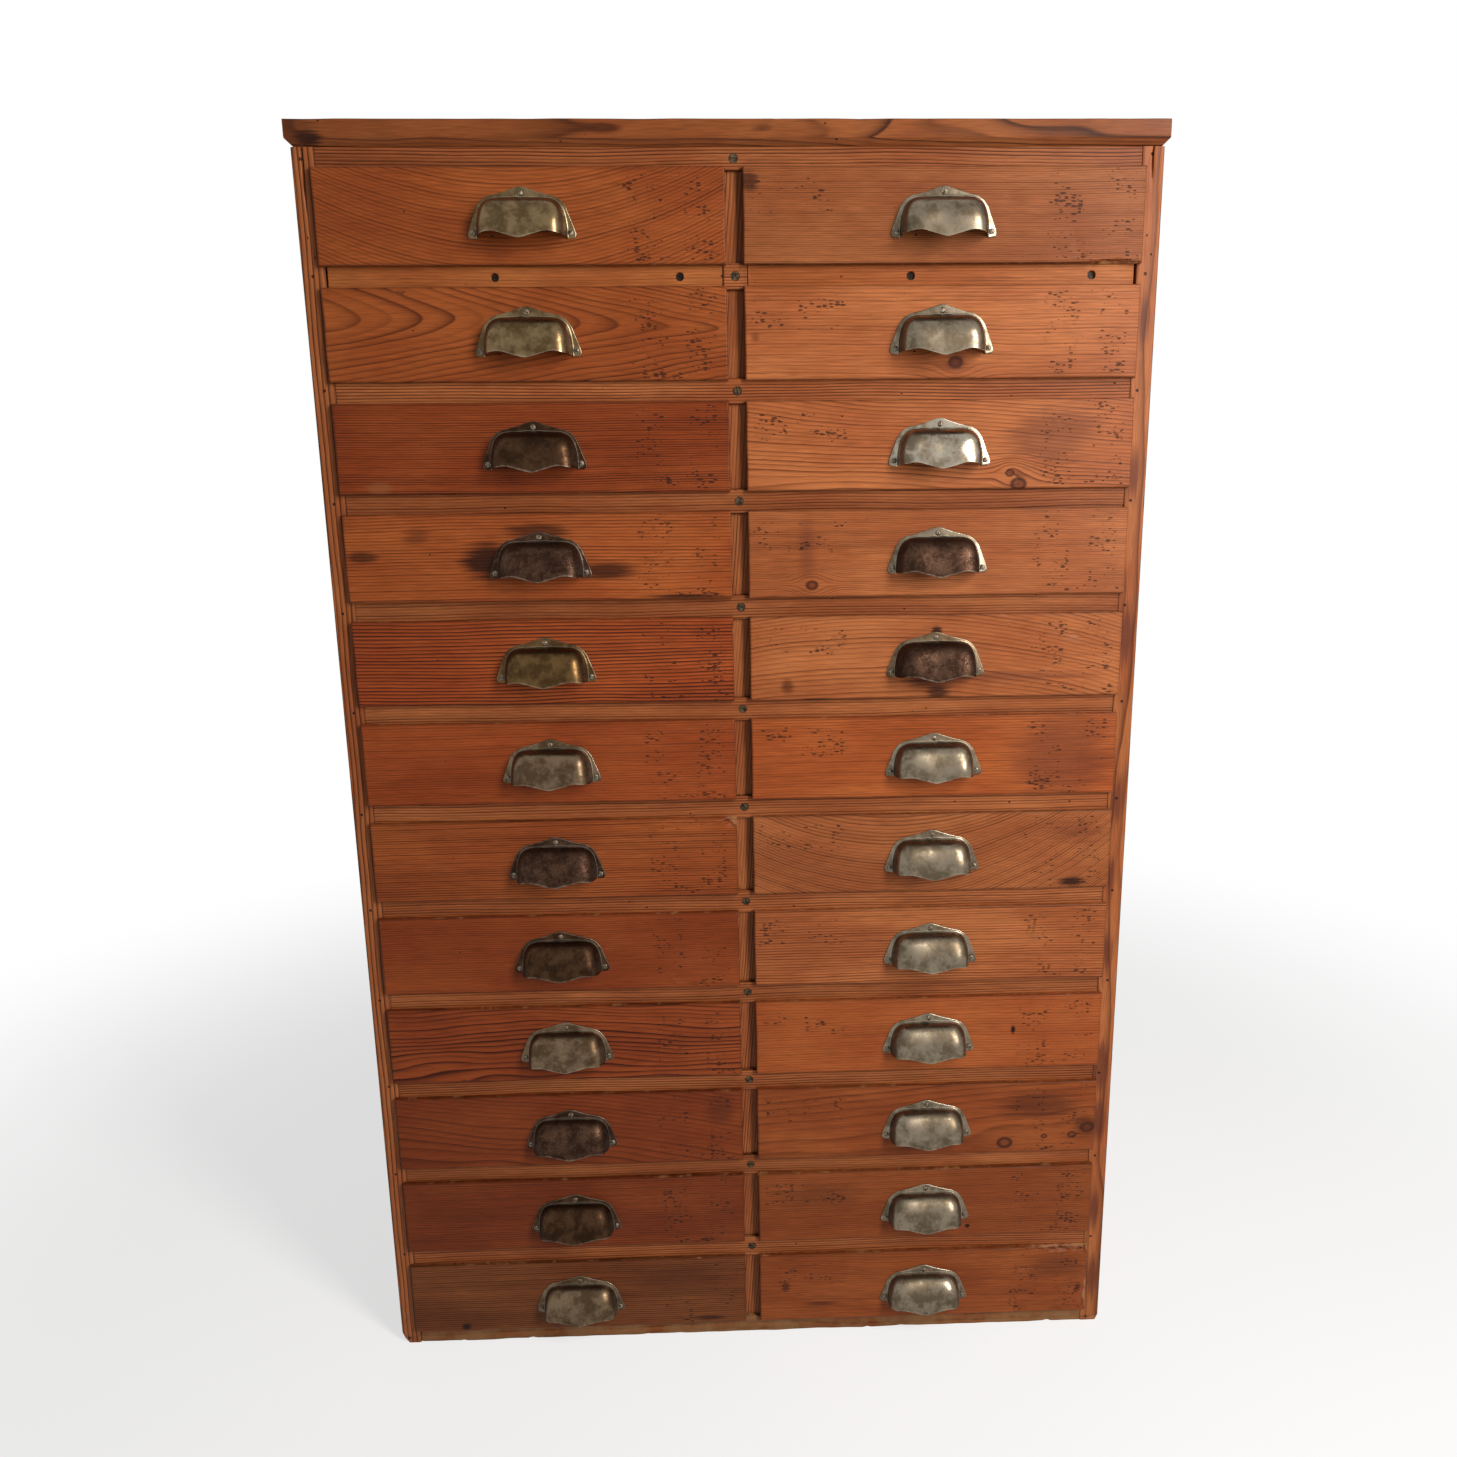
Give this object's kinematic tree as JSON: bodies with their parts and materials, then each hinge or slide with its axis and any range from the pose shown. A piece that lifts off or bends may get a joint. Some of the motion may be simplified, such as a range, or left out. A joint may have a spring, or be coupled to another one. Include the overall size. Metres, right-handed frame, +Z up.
{
  "type": "seed storage cabinet",
  "caption": "Tall waxed pine cabinet of shallow lipped drawers in two columns, each opened by a metal cup pull, with a chamfered top board and a flush base.",
  "frame": {"origin": "on the floor under the carcass, midway between the two sides and midway between their front and rear edges", "axes": "+Z up the height, +Y from the drawer fronts to the back, +X to the right as seen from the front"},
  "size_m": [0.828, 0.389, 1.3096],
  "materials": {
    "carcass_wood": "old waxed reddish pine",
    "drawer_wood": "old waxed reddish pine",
    "repair_wood": "newer waxed pine, lighter",
    "inner_wood": "bare dry pine",
    "nickel_pull": "worn dull nickel",
    "dark_pull": "dark worn bronze, rust speckled",
    "screw_steel": "old slotted steel screws"
  },
  "bodies": {
    "carcass": {"top_board": "carcass_wood", "side_left": "carcass_wood", "side_right": "carcass_wood", "centre_partition": "inner_wood", "front_rails": "carcass_wood", "repair_strips": "repair_wood", "rail_screws": "screw_steel", "muntin_strips": "carcass_wood", "drawer_runners": "inner_wood", "top_battens": "inner_wood", "base_board": "inner_wood", "back_boards": "inner_wood"},
    "left_01": {"drawer_left_01": "drawer_wood", "pull_left_01": "nickel_pull"},
    "left_02": {"drawer_left_02": "drawer_wood", "pull_left_02": "nickel_pull"},
    "left_03": {"drawer_left_03": "drawer_wood", "pull_left_03": "dark_pull"},
    "left_04": {"drawer_left_04": "drawer_wood", "pull_left_04": "dark_pull"},
    "left_05": {"drawer_left_05": "drawer_wood", "pull_left_05": "nickel_pull"},
    "left_06": {"drawer_left_06": "drawer_wood", "pull_left_06": "nickel_pull"},
    "left_07": {"drawer_left_07": "drawer_wood", "pull_left_07": "dark_pull"},
    "left_08": {"drawer_left_08": "drawer_wood", "pull_left_08": "dark_pull"},
    "left_09": {"drawer_left_09": "drawer_wood", "pull_left_09": "nickel_pull"},
    "left_10": {"drawer_left_10": "drawer_wood", "pull_left_10": "dark_pull"},
    "left_11": {"drawer_left_11": "drawer_wood", "pull_left_11": "dark_pull"},
    "left_12": {"drawer_left_12": "drawer_wood", "pull_left_12": "nickel_pull"},
    "right_01": {"drawer_right_01": "drawer_wood", "pull_right_01": "nickel_pull"},
    "right_02": {"drawer_right_02": "drawer_wood", "pull_right_02": "nickel_pull"},
    "right_03": {"drawer_right_03": "drawer_wood", "pull_right_03": "nickel_pull"},
    "right_04": {"drawer_right_04": "drawer_wood", "pull_right_04": "dark_pull"},
    "right_05": {"drawer_right_05": "drawer_wood", "pull_right_05": "dark_pull"},
    "right_06": {"drawer_right_06": "drawer_wood", "pull_right_06": "nickel_pull"},
    "right_07": {"drawer_right_07": "drawer_wood", "pull_right_07": "nickel_pull"},
    "right_08": {"drawer_right_08": "drawer_wood", "pull_right_08": "nickel_pull"},
    "right_09": {"drawer_right_09": "drawer_wood", "pull_right_09": "nickel_pull"},
    "right_10": {"drawer_right_10": "drawer_wood", "pull_right_10": "nickel_pull"},
    "right_11": {"drawer_right_11": "drawer_wood", "pull_right_11": "nickel_pull"},
    "right_12": {"drawer_right_12": "drawer_wood", "pull_right_12": "nickel_pull"}
  },
  "joints": [
    {"name": "left_01_slide", "type": "slide", "parent": "carcass", "child": "left_01", "axis": [0, -1, 0], "range_m": [0, 0.26]},
    {"name": "left_02_slide", "type": "slide", "parent": "carcass", "child": "left_02", "axis": [0, -1, 0], "range_m": [0, 0.26]},
    {"name": "left_03_slide", "type": "slide", "parent": "carcass", "child": "left_03", "axis": [0, -1, 0], "range_m": [0, 0.26]},
    {"name": "left_04_slide", "type": "slide", "parent": "carcass", "child": "left_04", "axis": [0, -1, 0], "range_m": [0, 0.26]},
    {"name": "left_05_slide", "type": "slide", "parent": "carcass", "child": "left_05", "axis": [0, -1, 0], "range_m": [0, 0.26]},
    {"name": "left_06_slide", "type": "slide", "parent": "carcass", "child": "left_06", "axis": [0, -1, 0], "range_m": [0, 0.26]},
    {"name": "left_07_slide", "type": "slide", "parent": "carcass", "child": "left_07", "axis": [0, -1, 0], "range_m": [0, 0.26]},
    {"name": "left_08_slide", "type": "slide", "parent": "carcass", "child": "left_08", "axis": [0, -1, 0], "range_m": [0, 0.26]},
    {"name": "left_09_slide", "type": "slide", "parent": "carcass", "child": "left_09", "axis": [0, -1, 0], "range_m": [0, 0.26]},
    {"name": "left_10_slide", "type": "slide", "parent": "carcass", "child": "left_10", "axis": [0, -1, 0], "range_m": [0, 0.26]},
    {"name": "left_11_slide", "type": "slide", "parent": "carcass", "child": "left_11", "axis": [0, -1, 0], "range_m": [0, 0.26]},
    {"name": "left_12_slide", "type": "slide", "parent": "carcass", "child": "left_12", "axis": [0, -1, 0], "range_m": [0, 0.26]},
    {"name": "right_01_slide", "type": "slide", "parent": "carcass", "child": "right_01", "axis": [0, -1, 0], "range_m": [0, 0.26]},
    {"name": "right_02_slide", "type": "slide", "parent": "carcass", "child": "right_02", "axis": [0, -1, 0], "range_m": [0, 0.26]},
    {"name": "right_03_slide", "type": "slide", "parent": "carcass", "child": "right_03", "axis": [0, -1, 0], "range_m": [0, 0.26]},
    {"name": "right_04_slide", "type": "slide", "parent": "carcass", "child": "right_04", "axis": [0, -1, 0], "range_m": [0, 0.26]},
    {"name": "right_05_slide", "type": "slide", "parent": "carcass", "child": "right_05", "axis": [0, -1, 0], "range_m": [0, 0.26]},
    {"name": "right_06_slide", "type": "slide", "parent": "carcass", "child": "right_06", "axis": [0, -1, 0], "range_m": [0, 0.26]},
    {"name": "right_07_slide", "type": "slide", "parent": "carcass", "child": "right_07", "axis": [0, -1, 0], "range_m": [0, 0.26]},
    {"name": "right_08_slide", "type": "slide", "parent": "carcass", "child": "right_08", "axis": [0, -1, 0], "range_m": [0, 0.26]},
    {"name": "right_09_slide", "type": "slide", "parent": "carcass", "child": "right_09", "axis": [0, -1, 0], "range_m": [0, 0.26]},
    {"name": "right_10_slide", "type": "slide", "parent": "carcass", "child": "right_10", "axis": [0, -1, 0], "range_m": [0, 0.26]},
    {"name": "right_11_slide", "type": "slide", "parent": "carcass", "child": "right_11", "axis": [0, -1, 0], "range_m": [0, 0.26]},
    {"name": "right_12_slide", "type": "slide", "parent": "carcass", "child": "right_12", "axis": [0, -1, 0], "range_m": [0, 0.26]}
  ]
}
